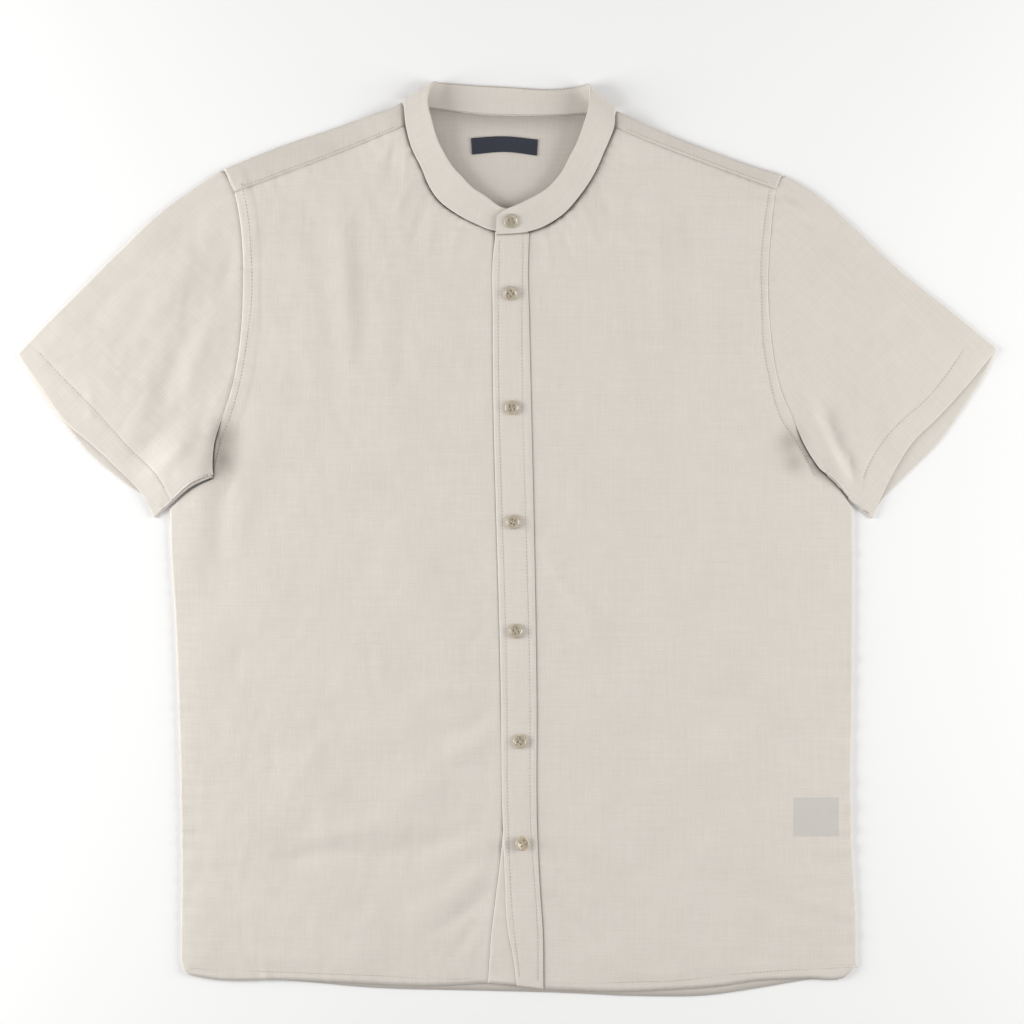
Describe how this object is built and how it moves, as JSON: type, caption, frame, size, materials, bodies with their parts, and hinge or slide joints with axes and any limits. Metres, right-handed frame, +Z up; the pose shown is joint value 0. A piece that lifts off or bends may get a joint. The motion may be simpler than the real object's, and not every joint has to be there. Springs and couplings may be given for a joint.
{
  "type": "short-sleeved mandarin collar shirt, buttoned and laid flat",
  "caption": "Short-sleeved linen shirt with a stand-up mandarin collar band and a buttoned front placket, buttoned up and laid flat on its back.",
  "frame": {"origin": "on the surface it lies on, under the middle of its bounding box", "axes": "+Z up from the surface, +Y from the hem to the collar, +X towards the wearer's left sleeve"},
  "size_m": [0.804, 0.7494, 0.0137],
  "materials": {
    "cloth": "matt plain-weave linen blend, light stone",
    "thread": "tone-on-tone polyester sewing thread",
    "button": "pearly translucent polyester",
    "neck_label": "navy woven satin",
    "care_label": "grey printed-ground nylon taffeta, bare"
  },
  "bodies": {
    "root": {"back": "cloth", "yoke": "cloth", "front_right": "cloth", "front_left": "cloth", "button_stand": "cloth", "placket": "cloth", "collar_band": "cloth", "sleeve_right": "cloth", "sleeve_left": "cloth", "neck_label": "neck_label", "care_label": "care_label", "button_1": "button", "button_2": "button", "button_3": "button", "button_4": "button", "button_5": "button", "button_6": "button", "button_7": "button"}
  },
  "joints": []
}
